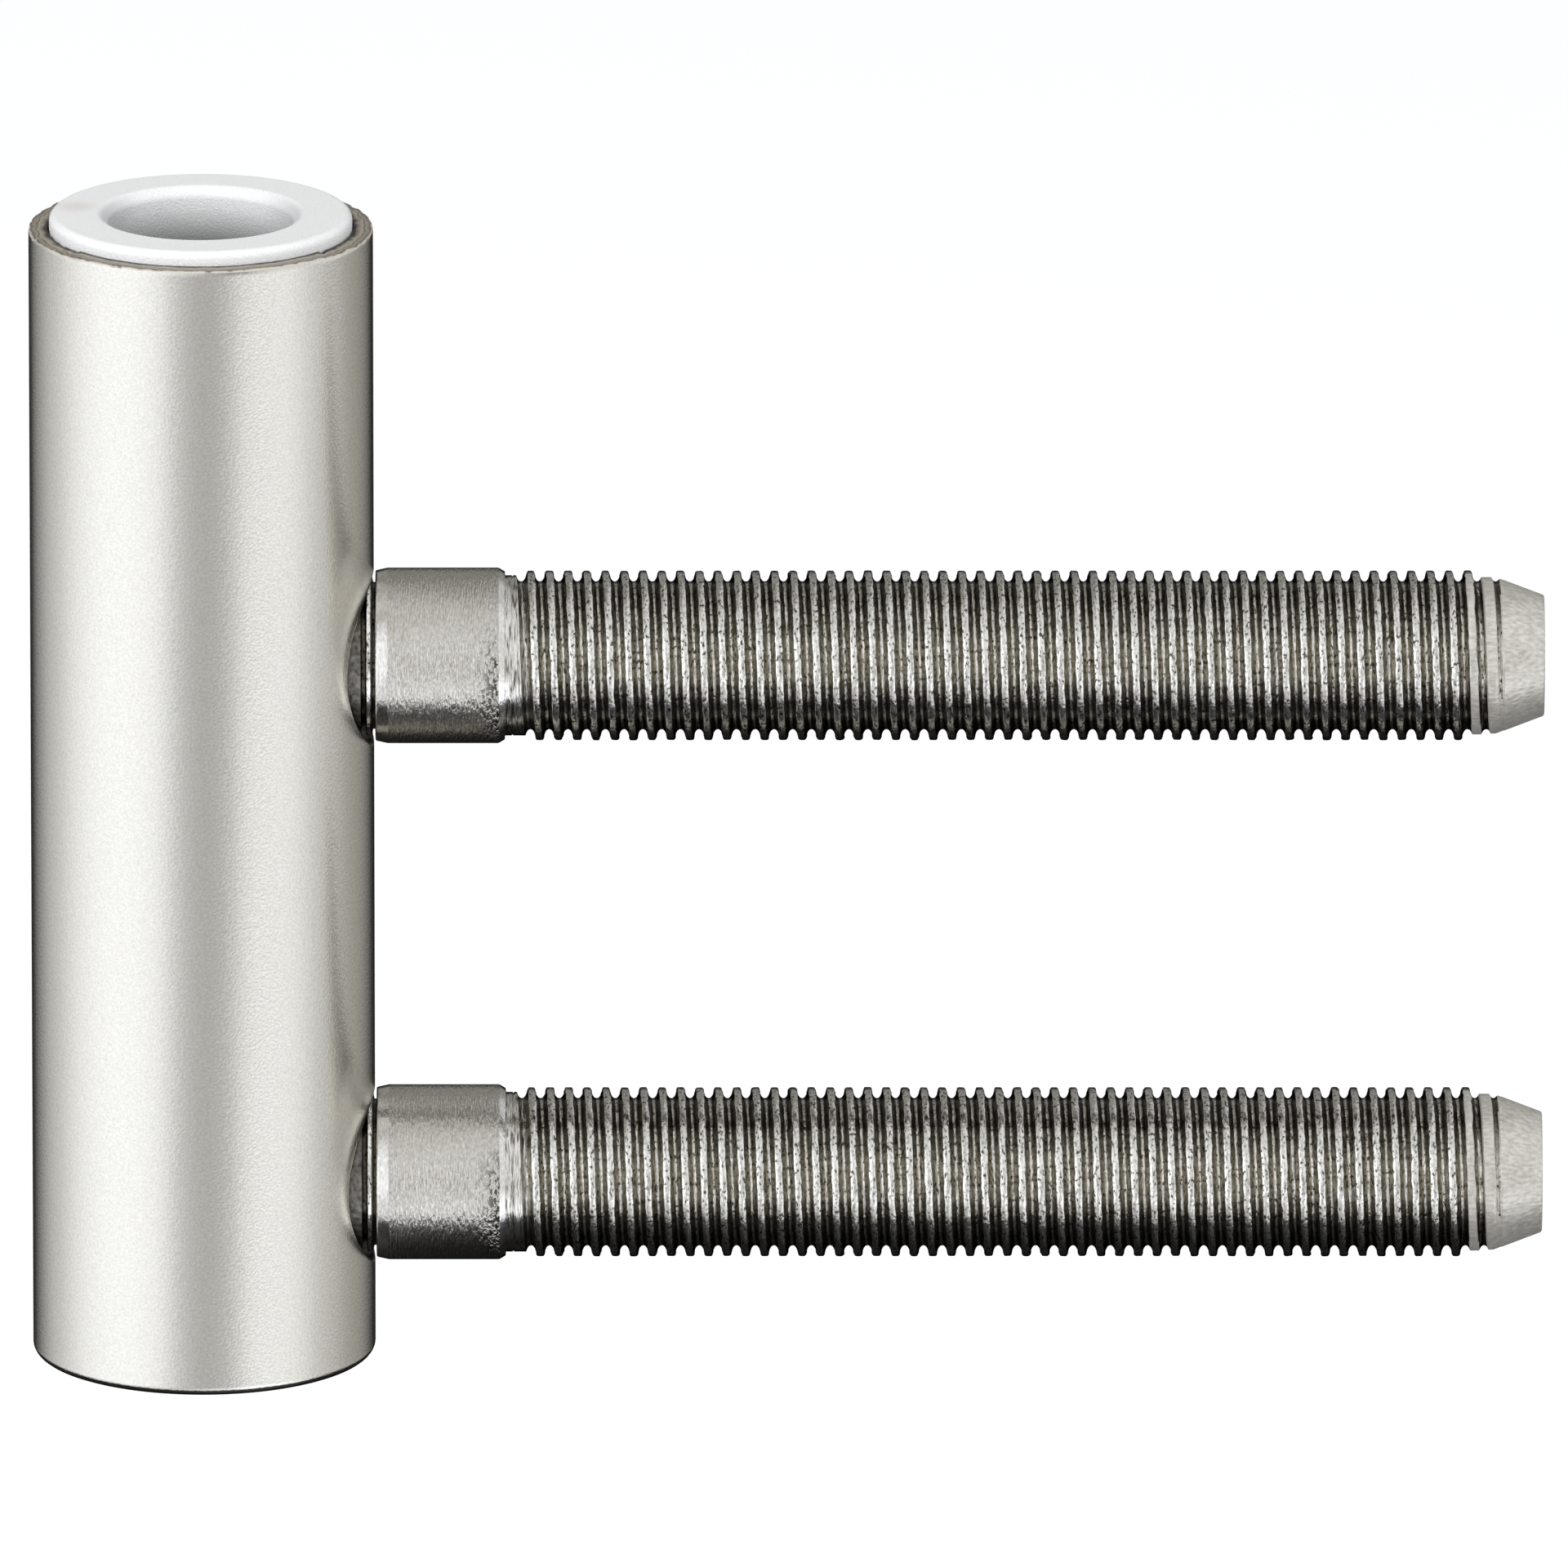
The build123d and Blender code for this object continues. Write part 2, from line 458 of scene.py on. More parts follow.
# Bearing bush: white acetal, moulded in one piece with its sleeve, which sits in the barrel's bore.
# The pin of the other half turns in its hole, which opens out in a curve that ends in a crisp edge.
# The hole is painted grey below that entry as shade, and a little at the entry's left and right ends.

bush_low, bush_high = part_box("bearing_bush")
flange_radius = bush_high.x
flange_round = 0.4 * mm
pin_bore_radius = 4.85 * mm
entry_width = 0.58 * mm
entry_depth = 0.62 * mm
entry_end_angle = math.radians(52.0)
crisp_edge = 0.02 * mm
sleeve_radius = 6.45 * mm
sleeve_lead = 0.4 * mm
merge_distance = 0.001 * mm

# Where the painted shade in the bore and at the entry's two ends starts and is full, and its grey.
bore_shade_start = -0.4 * mm
bore_shade_full = -2.4 * mm
entry_side_shade_start = 3.2 * mm
entry_side_shade_full = 5.1 * mm
entry_side_shade_share = 0.38
entry_side_shade_depth = entry_depth * 0.3
bore_shade_colour = (0.22, 0.225, 0.22, 1.0)
stain_place = (-6.5 * mm, 1.2 * mm, 0.7 * mm)
stain_reach = 1.5 * mm
stain_core = 0.2 * mm
stain_share = 0.35
stain_colour = (0.66, 0.60, 0.52, 1.0)

bush_outline = [(bush_low.z, pin_bore_radius)]
bush_outline += [(height, pin_bore_radius) for height in (bore_shade_full, bore_shade_full / 2, bore_shade_start)]
bush_outline.append((bush_high.z - entry_depth, pin_bore_radius))
for step in range(1, round_steps + 1):
    angle = entry_end_angle * step / round_steps
    run = entry_width * (1 - math.cos(angle)) / (1 - math.cos(entry_end_angle))
    rise = entry_depth * math.sin(angle) / math.sin(entry_end_angle)
    bush_outline.append((bush_high.z - entry_depth + rise, pin_bore_radius + run))
bush_outline += [
    (bush_high.z, pin_bore_radius + entry_width + crisp_edge),
    (bush_high.z, flange_radius - flange_round - crisp_edge),
    (bush_high.z, flange_radius - flange_round),
]
for run, rise in quarter_round(flange_round, round_steps):
    bush_outline.append((bush_high.z - rise, flange_radius - flange_round + run))
bush_outline += [
    (-seat_depth, flange_radius),
    (-seat_depth, sleeve_radius),
    (bush_low.z + sleeve_lead, sleeve_radius),
    (bush_low.z, sleeve_radius - sleeve_lead),
    (bush_low.z, pin_bore_radius),
]
bush = turn_on_lathe("bush_moulding", upward, Vector(), bush_outline, barrel_points)
bpy.ops.mesh.select_all(action="SELECT")
bpy.ops.mesh.remove_doubles(threshold=merge_distance)
smooth_shell(bush, smooth_angle)


def between(value, start, end, first, last):
    """A straight run from first at start to last at end, level outside."""
    share = min(max((value - start) / (end - start), 0.0), 1.0)
    return first + (last - first) * share


# Painted shade: the bore darkens with depth below the entry, and the entry's left and right ends are
# greyed.
painted_bore_shade = bush.data.attributes.new("painted_bore_shade", "FLOAT", "POINT")
for vertex in bush.data.vertices:
    at = vertex.co
    if math.hypot(at.x, at.y) < pin_bore_radius + entry_width + crisp_edge / 2:
        inside = between(at.z, bore_shade_start, bore_shade_full, 0.0, 1.0)
        sideways = between(abs(at.x), entry_side_shade_start, entry_side_shade_full, 0.0, entry_side_shade_share)
        sideways *= between(at.z, bush_high.z, bush_high.z - entry_side_shade_depth, 0.0, 1.0)
        painted_bore_shade.data[vertex.index].value = max(inside, sideways)


def fade(tree, value, start, end, full, way="SMOOTHSTEP"):
    """Turns a value into a share that is none up to start, and full from end on."""
    share = tree.nodes.new("ShaderNodeMapRange")
    share.interpolation_type = way
    share.inputs["From Min"].default_value = start
    share.inputs["From Max"].default_value = end
    feed(tree, share.inputs["To Max"], full)
    tree.links.new(value, share.inputs["Value"])
    return share.outputs["Result"]


def mix_colours(material, way, share, below, above):
    """Lays one colour over another by a share, and colours the material with the result."""
    tree = material.node_tree
    mix = tree.nodes.new("ShaderNodeMix")
    mix.data_type = "RGBA"
    mix.blend_type = way
    feed(tree, mix.inputs["Factor"], share)
    feed(tree, mix.inputs["A"], below)
    feed(tree, mix.inputs["B"], above)
    tree.links.new(mix.outputs["Result"], tree.nodes["Principled BSDF"].inputs["Base Color"])
    return mix.outputs["Result"]


acetal = plain_material("white acetal", roughness=0.36, metallic=0.0)
acetal_grain = add_grain(acetal, (0.10 * mm,) * 3, detail=3.0, contrast=2.6)
acetal_flow = add_grain(acetal, (2.5 * mm,) * 3, detail=2.0, contrast=1.5)
acetal_stops = ((0.0, (0.86, 0.855, 0.845)), (1.0, (0.985, 0.98, 0.97)))
acetal_colour = add_colour(acetal, acetal_grain, acetal_stops)
bore_shade_share = marked_share(acetal, "painted_bore_shade")
bore_shaded_colour = mix_colours(acetal, "MIX", bore_shade_share, acetal_colour, bore_shade_colour)
place = acetal.node_tree.nodes.new("ShaderNodeTexCoord")
from_stain = acetal.node_tree.nodes.new("ShaderNodeVectorMath")
from_stain.operation = "DISTANCE"
from_stain.inputs[1].default_value = stain_place
acetal.node_tree.links.new(place.outputs["Object"], from_stain.inputs[0])
stained = fade(acetal.node_tree, from_stain.outputs["Value"], stain_reach, stain_core, stain_share)
mix_colours(acetal, "MIX", stained, bore_shaded_colour, stain_colour)
flow = add_bump(acetal, acetal_flow, distance=0.05 * mm, strength=0.4)
add_bump(acetal, acetal_grain, distance=0.025 * mm, strength=0.7, below=flow)
bush.data.materials.append(acetal)
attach(bush, "root")
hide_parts("bearing_bush")


# Shanks: two steel screws, each turned in one piece and nickel plated. A rolled thread runs from the
# neck behind the collar to a short cone, and a plain spigot, with a narrow groove and ridge beside
# the collar, is fixed in the barrel. The upper one is modelled, and the lower one is its copy.

thread_pitch = 0.981 * mm
thread_steps = 72
ring_points = thread_steps * 2
turns_before = 3
turns_after = 2
crest_radius = 4.43 * mm
crest_half = 0.165 * mm
crest_band = 0.12 * mm
root_radius = 3.87 * mm
groove_floor = root_radius * 0.99
first_crest = 17.23 * mm
run_in_turn = -0.35
crest_full_turn = -0.05
groove_full_turn = -0.1
last_crest_turn = 50.15
last_crest_radius = 4.10 * mm
crest_fade_turns = 0.35
last_groove_turn = 52.1
groove_fade_turns = 0.4
blank_crest_turns = 0.6
blank_crest_band = 0.08 * mm
thread_smooth_angle = 50.0

neck_radius = 4.2 * mm
just_risen = 1.001
neck_end = 16.30 * mm
neck_stub_end = neck_end - 0.02 * mm
neck_groove_start = neck_end - 0.09 * mm
neck_groove_width = 0.06 * mm
neck_groove_depth = 0.05 * mm

tip_start = 68.10 * mm
thread_cut = tip_start + 0.02 * mm
tip_root = tip_start + 0.04 * mm
tip_radius = 3.95 * mm
tip_end_radius = 3.16 * mm
tip_edge = 0.08 * mm

collar_start = 9.08 * mm
collar_radius = 4.6 * mm
collar_lead = 0.66 * mm
collar_lead_drop = 0.13 * mm
collar_left_ring = collar_start + 2.5 * mm
collar_end = 15.85 * mm
collar_right_ring = collar_end - 1.5 * mm
collar_end_ease = 0.08 * mm
collar_end_run = 0.30 * mm
collar_end_drop = 0.2 * mm
tiny_round = 0.02 * mm
small_round = 0.05 * mm

undercut_start = 8.91 * mm
undercut_radius = 3.85 * mm
spigot_end = undercut_start + small_round
collar_root = undercut_start + 0.08 * mm
spigot_radius = 4.2 * mm
spigot_chamfer = 0.5 * mm
spigot_groove_start = 8.32 * mm
spigot_groove_radius = 3.65 * mm
spigot_groove_run = 0.08 * mm
spigot_ridge_start = 8.60 * mm
ridge_round = 0.05 * mm
seam_reach = 0.03 * mm

shank_low, shank_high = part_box("upper_shank")
shank_centre = Vector((0.0, 0.0, shank_heights[0]))


def thread_profile(crest, root):
    """One pitch of the thread, from the middle of one valley to the next, as distances and radii."""
    depth = crest - root
    half = [
        (0.0, 0.0),
        (crest_half * 0.8, 0.01),
        (crest_half, 0.06),
        (crest_half + 0.03 * mm, 0.18),
        (crest_half + 0.06 * mm, 0.40),
        (crest_half + 0.10 * mm, 0.62),
        (crest_half + 0.16 * mm, 0.82),
        (crest_half + 0.23 * mm, 0.95),
        (thread_pitch / 2, 1.0),
    ]
    right = [(run, crest - depth * drop) for run, drop in half]
    left = [(-run, radius) for run, radius in reversed(right[1:])]
    return left + right


def wind_thread(name, middle, turns, crest, root):
    """Winds a profile round X by Blender's Screw modifier; middle is the first crest's place on top."""
    profile = thread_profile(crest, root)
    bpy.ops.object.select_all(action="DESELECT")
    bpy.ops.mesh.primitive_plane_add(size=crest, location=shank_centre + across * middle)
    piece = bpy.context.object
    piece.name = name
    bpy.ops.object.mode_set(mode="EDIT")
    bpy.ops.mesh.merge(type="CENTER")
    run, radius = profile[0]
    bpy.ops.transform.translate(value=(run, 0.0, radius))
    for next_run, next_radius in profile[1:]:
        step = (next_run - run, 0.0, next_radius - radius)
        bpy.ops.mesh.extrude_vertices_move(TRANSFORM_OT_translate={"value": step})
        run, radius = next_run, next_radius
    bpy.ops.object.mode_set(mode="OBJECT")
    bpy.ops.object.modifier_add(type="SCREW")
    screw = piece.modifiers[-1]
    screw.axis = "X"
    screw.steps = screw.render_steps = thread_steps
    screw.screw_offset = thread_pitch
    screw.iterations = turns
    bpy.ops.object.modifier_apply(modifier=screw.name)
    bpy.ops.object.transform_apply(location=True, rotation=True, scale=True)
    bpy.ops.object.mode_set(mode="EDIT")
    bpy.ops.mesh.select_all(action="SELECT")
    bpy.ops.mesh.remove_doubles(threshold=merge_distance)
    bpy.ops.object.mode_set(mode="OBJECT")
    return piece


def turn_share(at):
    """How far round the shank a point is: 0 on top, a quarter at the front, half below."""
    return math.atan2(-at.y, at.z - shank_centre.z) / (2 * math.pi) % 1.0


def crest_limit(at):
    """The greatest radius of the thread at a point: it grows at the neck and ends on the cone."""
    turned = turn_share(at)
    ridge = turned + round((at.x - first_crest) / thread_pitch - turned)
    last_full = last_crest_turn + crest_fade_turns
    grown = between(ridge, run_in_turn, crest_full_turn, neck_radius, crest_radius)
    worn_down = between(ridge, last_crest_turn, last_full, crest_radius, last_crest_radius)
    cone = tip_radius + (tip_start - at.x) * (tip_radius - tip_end_radius) / (shank_high.x - tip_start)
    return min(grown, worn_down, cone)


def root_limit(at):
    """The least radius of the thread at a point: its groove opens at the neck and fades on the cone."""
    turned = turn_share(at)
    groove = turned + math.ceil((at.x - first_crest) / thread_pitch - turned)
    faded_turn = last_groove_turn + groove_fade_turns
    opening = between(groove, run_in_turn, groove_full_turn, neck_radius, groove_floor)
    fading = between(groove, last_groove_turn, faded_turn, groove_floor, crest_limit(at))
    return max(opening, fading)


def limit_radius(piece, least, most):
    """Holds each point's distance from the shank's axis between two limits that depend on its place."""
    for vertex in piece.data.vertices:
        height = vertex.co.z - shank_centre.z
        radius = math.hypot(vertex.co.y, height)
        wanted = min(max(radius, least(vertex.co)), most(vertex.co))
        vertex.co.y *= wanted / radius
        vertex.co.z = shank_centre.z + height * wanted / radius


def cut_off(piece, place, keep_right):
    """Cuts a piece square at a place along X and leaves that end open."""
    bpy.ops.object.mode_set(mode="EDIT")
    bpy.ops.mesh.select_all(action="SELECT")
    bpy.ops.mesh.bisect(
        plane_co=(place, 0.0, 0.0),
        plane_no=(1.0, 0.0, 0.0),
        clear_inner=keep_right,
        clear_outer=not keep_right,
        threshold=0.0001 * mm,
    )
    bpy.ops.object.mode_set(mode="OBJECT")


long_turns = round((tip_start - first_crest) / thread_pitch) + turns_before + turns_after
wound_from = first_crest - turns_before * thread_pitch
long_thread = wind_thread("long_thread", wound_from, long_turns, crest_radius, root_radius)
limit_radius(long_thread, root_limit, crest_limit)


def on_crest(at):
    """Whether a point is on the flat top of the thread or at its edges."""
    return math.hypot(at.y, at.z - shank_centre.z) > crest_radius - crest_band


wear(long_thread, "crest height", on_crest, size=0.6 * mm, depth=0.06 * mm, middle=0.7)
wear(long_thread, "crest edge", on_crest, size=0.45 * mm, depth=0.14 * mm, middle=0.5, direction="X")
cut_off(long_thread, neck_end, True)
cut_off(long_thread, thread_cut, False)

spigot_outline = [
    (shank_low.x, spigot_radius - spigot_chamfer),
    (shank_low.x + spigot_chamfer, spigot_radius),
    (spigot_groove_start, spigot_radius),
    (spigot_groove_start + spigot_groove_run, spigot_groove_radius),
    (spigot_ridge_start - small_round, spigot_groove_radius),
    (spigot_ridge_start, spigot_radius - ridge_round),
    (spigot_ridge_start + ridge_round, spigot_radius),
    (undercut_start - ridge_round * 2, spigot_radius - ridge_round * 0.4),
    (undercut_start, spigot_radius - ridge_round * 1.5),
    (spigot_end, undercut_radius),
]
spigot = turn_on_lathe("spigot", across, shank_centre, spigot_outline, ring_points)
select_points(spigot, lambda at: abs(at.x - shank_low.x) < same_place)
bpy.ops.mesh.edge_face_add()
bpy.ops.object.mode_set(mode="OBJECT")

collar_outline = [
    (collar_root, undercut_radius),
    (collar_start - tiny_round, undercut_radius),
    (collar_start, undercut_radius + tiny_round),
    (collar_start, collar_radius - collar_lead_drop - small_round),
    (collar_start + small_round, collar_radius - collar_lead_drop),
    (collar_start + collar_lead * 0.2, collar_radius - collar_lead_drop * 0.87),
    (collar_start + collar_lead * 0.85, collar_radius - collar_lead_drop * 0.15),
    (collar_start + collar_lead * 0.97, collar_radius - collar_lead_drop * 0.02),
    (collar_start + collar_lead * 1.03, collar_radius),
    (collar_start + collar_lead * 1.12, collar_radius),
    (collar_left_ring, collar_radius),
    (collar_right_ring, collar_radius),
    (collar_end - collar_end_run - collar_end_ease, collar_radius),
    (collar_end - collar_end_run, collar_radius - tiny_round),
    (collar_end, collar_radius - collar_end_drop),
    (collar_end + tiny_round * 0.5, neck_radius + tiny_round),
    (collar_end + tiny_round * 1.5, neck_radius),
    (neck_groove_start, neck_radius),
    (neck_groove_start + tiny_round, neck_radius - neck_groove_depth),
    (neck_groove_start + neck_groove_width, neck_radius - neck_groove_depth),
    (neck_stub_end, neck_radius),
]
collar = turn_on_lathe("collar", across, shank_centre, collar_outline, ring_points)
bpy.ops.object.mode_set(mode="OBJECT")


def on_lead_edge(at):
    """Whether a point is where the collar's lead meets its plain side."""
    return abs(at.x - collar_start - collar_lead) < collar_lead * 0.1


wear(collar, "lead edge", on_lead_edge, size=0.35 * mm, depth=0.22 * mm, middle=0.5, direction="X")

tip_outline = [
    (tip_root, tip_radius),
    (shank_high.x - tip_edge, tip_end_radius + tip_edge * 0.3),
    (shank_high.x - tip_edge * 0.3, tip_end_radius - tip_edge * 0.25),
    (shank_high.x, tip_end_radius - tip_edge),
    (shank_high.x, tip_end_radius * 0.5),
]
tip = turn_on_lathe("tip", across, shank_centre, tip_outline, ring_points)
bpy.ops.mesh.edge_face_add()
bpy.ops.object.mode_set(mode="OBJECT")

bpy.ops.object.select_all(action="DESELECT")
for part in (spigot, collar, long_thread, tip):
    part.select_set(True)
bpy.context.view_layer.objects.active = spigot
bpy.ops.object.join()
upper_shank = bpy.context.object
upper_shank.name = "upper_shank_screw"
seams = ((spigot_end + collar_root) / 2, (neck_stub_end + neck_end) / 2, (thread_cut + tip_root) / 2)
for seam in seams:
    select_points(upper_shank, lambda at: abs(at.x - seam) < seam_reach)
    bpy.ops.mesh.select_non_manifold(extend=False, use_wire=False)
    bpy.ops.object.mode_set(mode="OBJECT")
    for vertex in upper_shank.data.vertices:
        vertex.select = vertex.select and abs(vertex.co.x - seam) < seam_reach
    chosen = [vertex.select for vertex in upper_shank.data.vertices]
    for edge in upper_shank.data.edges:
        edge.select = edge.select and chosen[edge.vertices[0]] and chosen[edge.vertices[1]]
    bpy.ops.object.mode_set(mode="EDIT")
    bpy.ops.mesh.bridge_edge_loops()
smooth_shell(upper_shank, thread_smooth_angle)

flank_share = 0.8
valley_share = 0.2
valley_edge = 0.74
valley_floor = 0.94
ridge_side_share = 0.6
worn_turn = 0.29
worn_start = collar_end - 1.7 * mm
worn_full = collar_end - 0.4 * mm
flank_light_turn = 0.225
crest_shade_turn = 0.289
crest_top_shade_share = 0.34
crest_top_shade_turn = 0.15
crest_top_shade_end = 0.175


def groove_shade_mark(at):
    """How deep a point lies in the thread, the valley's floor last, or beside the spigot's ridge, for the
    painted shade there.
    """
    radius = math.hypot(at.y, at.z - shank_centre.z)
    depth = 0.0
    if at.x > neck_end:
        turned = (at.x - first_crest) / thread_pitch - turn_share(at)
        off_crest = abs(turned - round(turned)) * 2
        depth = min((crest_limit(at) - radius) / (crest_radius - root_radius), flank_share)
        depth += between(off_crest, valley_edge, valley_floor, 0.0, valley_share)
    elif at.x < collar_start + tiny_round / 4:
        depth = min((spigot_radius - radius) / (ridge_round * 4), ridge_side_share)
    return min(max(depth, 0.0), 1.0)


def near_turn(at, turn, core, spread, elsewhere=0.0):
    """A share that is full at one place round the shank and lessens to both sides of it."""
    return between(abs(turn_share(at) - turn), core, spread, 1.0, elsewhere)


def worn_mark(at):
    """How pitted a point is: the collar's right end, most of all in front."""
    near_end = between(at.x, worn_start, worn_full, 0.0, 1.0)
    worn = near_end * near_turn(at, worn_turn, core=0.07, spread=0.15, elsewhere=0.1)
    return worn if at.x < neck_end else 0.0


def flank_light_mark(at):
    """How much painted light the thread's flanks get: a lighter band along the front."""
    return near_turn(at, flank_light_turn, core=0.03, spread=0.16) if at.x > neck_end else 0.0


def crest_shade_mark(at):
    """How much painted shade darkens the crests: a narrow band just below the front, and less on the upper
    side.
    """
    below = near_turn(at, crest_shade_turn, core=0.008, spread=0.03)
    above = between(turn_share(at), crest_top_shade_turn, crest_top_shade_end, crest_top_shade_share, 0.0)
    return max(below, above) if at.x > neck_end else 0.0


marks = {"groove": groove_shade_mark, "worn": worn_mark, "painted_flank_light": flank_light_mark, "painted_crest_shade": crest_shade_mark}
for name, mark in marks.items():
    shares = [mark(vertex.co) for vertex in upper_shank.data.vertices]
    upper_shank.data.attributes.new(name, "FLOAT", "POINT").data.foreach_set("value", shares)

pit_edge = 0.38
pit_core = 0.16
pit_colour = (0.05, 0.048, 0.04, 1.0)
turned_nickel = plain_material("turned nickel", roughness=0.26)
turned_grain = add_grain(turned_nickel, (0.10 * mm, 0.22 * mm, 0.22 * mm), detail=2.0, contrast=2.0)
turned_strokes = add_grain(turned_nickel, (0.09 * mm, 0.60 * mm, 0.60 * mm), detail=2.0, contrast=2.4)
turned_pits = add_grain(turned_nickel, (0.17 * mm, 0.30 * mm, 0.30 * mm), detail=2.0, contrast=4.0)
turned_stops = ((0.0, (0.51, 0.485, 0.43)), (1.0, (0.75, 0.725, 0.665)))
turned_colour = add_colour(turned_nickel, turned_grain, turned_stops)
worn = marked_share(turned_nickel, "worn")
pitted = fade(turned_nickel.node_tree, turned_pits, pit_edge, pit_core, worn, way="LINEAR")
mix_colours(turned_nickel, "MIX", pitted, turned_colour, pit_colour)
strokes = add_bump(turned_nickel, turned_strokes, distance=0.04 * mm, strength=0.9)
grain = add_bump(turned_nickel, turned_grain, distance=0.012 * mm, strength=0.6, below=strokes)
add_bump(turned_nickel, turned_pits, distance=0.08 * mm, strength=worn, below=grain)

streaked_nickel = plain_material("chattered nickel", roughness=0.17)
streaks = add_grain(streaked_nickel, (0.08 * mm, 0.9 * mm, 0.9 * mm), detail=3.0, contrast=3.0)
streak_stops = ((0.0, (0.10, 0.095, 0.08)), (0.28, (0.50, 0.475, 0.42)), (0.6, (0.82, 0.80, 0.75)))
add_colour(streaked_nickel, streaks, streak_stops)
add_bump(streaked_nickel, streaks, distance=0.03 * mm, strength=0.7)

blank_nickel = plain_material("blank nickel", roughness=0.42, metallic=0.6)
blank_grain = add_grain(blank_nickel, (0.45 * mm, 0.16 * mm, 0.16 * mm), detail=4.0, contrast=2.2)
add_colour(blank_nickel, blank_grain, ((0.0, (0.47, 0.445, 0.395)), (1.0, (0.80, 0.765, 0.70))))
add_bump(blank_nickel, blank_grain, distance=0.02 * mm, strength=0.6)

burnished_nickel = plain_material("burnished nickel", roughness=0.18)
burnish = add_grain(burnished_nickel, (0.12 * mm, 0.25 * mm, 0.25 * mm), detail=3.0, contrast=2.2)
add_colour(burnished_nickel, burnish, ((0.0, (0.62, 0.595, 0.54)), (1.0, (0.90, 0.88, 0.84))))
add_bump(burnished_nickel, burnish, distance=0.012 * mm, strength=0.6)

# Painted shade: the thread's flanks, and the sides of the spigot's groove and ridge, are coloured near
# black for the shade between the ridges; the valley floor stays light.
flank_shade_colour = (0.105, 0.096, 0.077)
flank_raggedness = 0.13
flank_light_colour = (0.57, 0.55, 0.515, 1.0)
crest_shade_colour = (0.50, 0.49, 0.47, 1.0)
crest_stops = ((0.0, (0.12, 0.112, 0.095)), (0.09, (0.66, 0.635, 0.58)), (0.8, (0.94, 0.92, 0.87)))
flank_shade_stops = ((0.15, (1.0,) * 3), (0.28, flank_shade_colour), (0.92, flank_shade_colour), (1.0, (0.86, 0.84, 0.80)))
rolled_nickel = plain_material("rolled nickel", roughness=0.20)
rolled_streaks = add_grain(rolled_nickel, (0.16 * mm, 0.90 * mm, 0.90 * mm), detail=2.0, contrast=2.2)
rolled_pits = add_grain(rolled_nickel, (0.13 * mm, 0.22 * mm, 0.22 * mm), detail=2.0, contrast=3.6)
groove = marked_share(rolled_nickel, "groove")
painted_flank_light = marked_share(rolled_nickel, "painted_flank_light")
painted_crest_shade = marked_share(rolled_nickel, "painted_crest_shade")
ragged_groove_shade = make_ragged(rolled_nickel, groove, rolled_streaks, flank_raggedness)
crest = add_colour(rolled_nickel, rolled_pits, crest_stops)
# Painted shade darkens the crests just below the front and on the upper side.
crest = mix_colours(rolled_nickel, "MULTIPLY", painted_crest_shade, crest, crest_shade_colour)
painted_flank_tone = add_colour(rolled_nickel, ragged_groove_shade, flank_shade_stops)
# Painted light lightens the flanks in a band along the front.
painted_flank_tone = mix_colours(rolled_nickel, "LIGHTEN", painted_flank_light, painted_flank_tone, flank_light_colour)
mix_colours(rolled_nickel, "MULTIPLY", 1.0, crest, painted_flank_tone)
waves = add_bump(rolled_nickel, rolled_streaks, distance=0.03 * mm, strength=0.6)
add_bump(rolled_nickel, rolled_pits, distance=0.009 * mm, strength=0.6, below=waves)

blank_start = first_crest + (last_crest_turn - blank_crest_turns) * thread_pitch
second_crest = first_crest + thread_pitch


def finish_of(at):
    """The shank's finish at a point, from the spigot on the left to the cone on the right."""
    radius = math.hypot(at.y, at.z - shank_centre.z)
    past_full_crests = at.x > blank_start + turn_share(at) * thread_pitch
    # The spigot inside the hole takes the mouth's painted shade.
    if at.x < spigot_groove_start:
        return mouth_shade
    if at.x < collar_start:
        return rolled_nickel
    if at.x < collar_start + collar_lead:
        return burnished_nickel
    if collar_end - collar_end_run - tiny_round < at.x < collar_end:
        return burnished_nickel
    if at.x > tip_start:
        return blank_nickel
    if past_full_crests and radius > crest_limit(at) - blank_crest_band:
        return blank_nickel
    if at.x > neck_end and (crest_limit(at) > neck_radius * just_risen or at.x > second_crest):
        return rolled_nickel
    if at.x > collar_end:
        return streaked_nickel
    return turned_nickel


shank_materials = (
    turned_nickel,
    rolled_nickel,
    streaked_nickel,
    blank_nickel,
    burnished_nickel,
    mouth_shade,
)
for material in shank_materials:
    upper_shank.data.materials.append(material)
for face in upper_shank.data.polygons:
    face.material_index = shank_materials.index(finish_of(face.center))

lower_shank = upper_shank.copy()
lower_shank.data = upper_shank.data.copy()
lower_shank.name = "lower_shank_screw"
bpy.context.scene.collection.objects.link(lower_shank)
bpy.ops.object.select_all(action="DESELECT")
lower_shank.select_set(True)
bpy.context.view_layer.objects.active = lower_shank
lower_shank.location.z = shank_heights[1] - shank_heights[0]
bpy.ops.object.transform_apply(location=True, rotation=True, scale=True)

for shank, node in ((upper_shank, "upper_shank"), (lower_shank, "lower_shank")):
    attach(shank, "root")
    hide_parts(node)


# Floor: plain pale paper below the hinge, which is held by its shanks in use and so doesn't stand on
# it. The camera sees it as white, with what is left of the soft shadow, and sees through it from
# below. The metal doesn't reflect it.

floor_gap = 0.045
floor_size = 6.0
floor_middle = 0.03
floor_glow = 0.285
paper_colour = (0.88, 0.88, 0.88, 1.0)
glow_colour = (1.0, 1.0, 1.0, 1.0)

